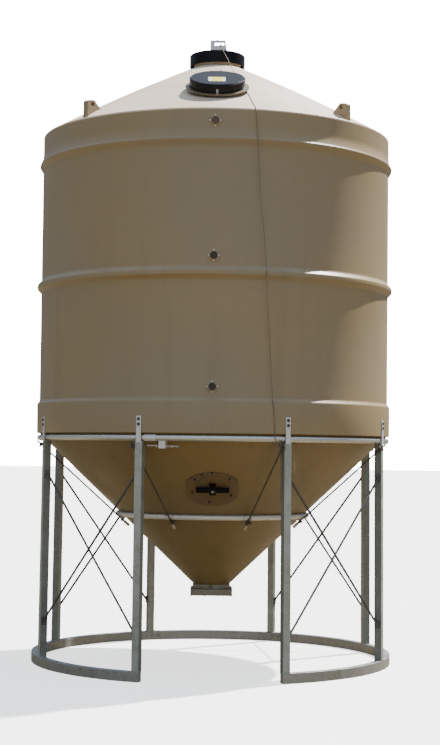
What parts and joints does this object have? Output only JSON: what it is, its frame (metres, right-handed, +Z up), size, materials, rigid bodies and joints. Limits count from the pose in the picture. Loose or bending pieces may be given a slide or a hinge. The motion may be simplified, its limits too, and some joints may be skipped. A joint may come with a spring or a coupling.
{
  "type": "poly fertiliser silo",
  "caption": "Tan poly fertiliser silo with cone roof, black lids, hopper base and slide gate, on a galvanised ring stand with rod bracing and an open front bay.",
  "frame": {"origin": "on the ground, on the silo's upright axis, in the middle of the base ring", "axes": "+Z up, -Y towards the open bay with the hatches and sight ports, +X to the right as seen from there"},
  "size_m": [3.0324, 3.0324, 5.336],
  "materials": {
    "tan_poly": "weathered, satin",
    "black_plastic": "moulded black",
    "galvanised_steel": "hot dip galvanised, dull",
    "galvanised_tube": "galvanised tube, brighter",
    "gate_plate": "dull, dusty",
    "rope": "twisted rope"
  },
  "bodies": {
    "silo": {"tank_wall": "tan_poly", "tank_roof": "tan_poly", "fill_neck": "tan_poly", "hopper_cone": "tan_poly", "outlet_collar": "tan_poly", "clean_out_frame": "tan_poly", "clean_out_door": "tan_poly", "outlet_gate_frame": "gate_plate", "fill_lid_hinge": "galvanised_steel", "roof_hatch_ring": "tan_poly", "roof_hatch_hinge": "galvanised_steel", "top_ring": "galvanised_tube", "hopper_ring": "galvanised_tube", "base_ring": "galvanised_steel", "ring_joint_rod": "galvanised_steel", "rope_lead": "rope", "pull_rope": "rope", "leg_1": "galvanised_steel", "hopper_tie_rod_1": "galvanised_steel", "brace_rod_1": "galvanised_steel", "leg_2": "galvanised_steel", "hopper_tie_rod_2": "galvanised_steel", "brace_rod_2": "galvanised_steel", "leg_3": "galvanised_steel", "hopper_tie_rod_3": "galvanised_steel", "brace_rod_3": "galvanised_steel", "leg_4": "galvanised_steel", "hopper_tie_rod_4": "galvanised_steel", "brace_rod_4": "galvanised_steel", "leg_5": "galvanised_steel", "hopper_tie_rod_5": "galvanised_steel", "brace_rod_5": "galvanised_steel", "leg_6": "galvanised_steel", "hopper_tie_rod_6": "galvanised_steel", "brace_rod_6": "galvanised_steel", "leg_7": "galvanised_steel", "hopper_tie_rod_7": "galvanised_steel", "brace_rod_7": "galvanised_steel", "leg_8": "galvanised_steel", "hopper_tie_rod_8": "galvanised_steel", "brace_rod_8": "galvanised_steel", "lifting_lug_1": "tan_poly", "lifting_lug_2": "tan_poly", "lifting_lug_3": "tan_poly", "lifting_lug_4": "tan_poly", "sight_port_1": "tan_poly", "sight_port_2": "tan_poly", "sight_port_3": "tan_poly"},
    "fill_lid_body": {"fill_lid": "black_plastic", "lid_bracket": "galvanised_steel"},
    "roof_hatch_body": {"roof_hatch_lid": "black_plastic", "roof_hatch_clip": "galvanised_steel"},
    "clean_out_handle_body": {"clean_out_handle": "black_plastic"},
    "outlet_gate_body": {"outlet_gate_blade": "galvanised_steel"}
  },
  "joints": [
    {"name": "fill_lid_hinge", "type": "hinge", "parent": "silo", "child": "fill_lid_body", "pos_m": [0, 0.272, 5.1], "axis": [-1, 0, 0], "range_deg": [0, 95], "deforming": ["rope_lead"]},
    {"name": "roof_hatch_hinge", "type": "hinge", "parent": "silo", "child": "roof_hatch_body", "pos_m": [0, -0.84416, 4.81249], "axis": [-1, 0, 0], "range_deg": [0, 105]},
    {"name": "clean_out_handle_turn", "type": "hinge", "parent": "silo", "child": "clean_out_handle_body", "pos_m": [0, -1.04497, 1.49151], "axis": [0, -0.6887, -0.7251], "range_deg": [0, 90]},
    {"name": "outlet_gate_slide", "type": "slide", "parent": "silo", "child": "outlet_gate_body", "axis": [0, 1, 0], "range_m": [0, 0.3]}
  ]
}
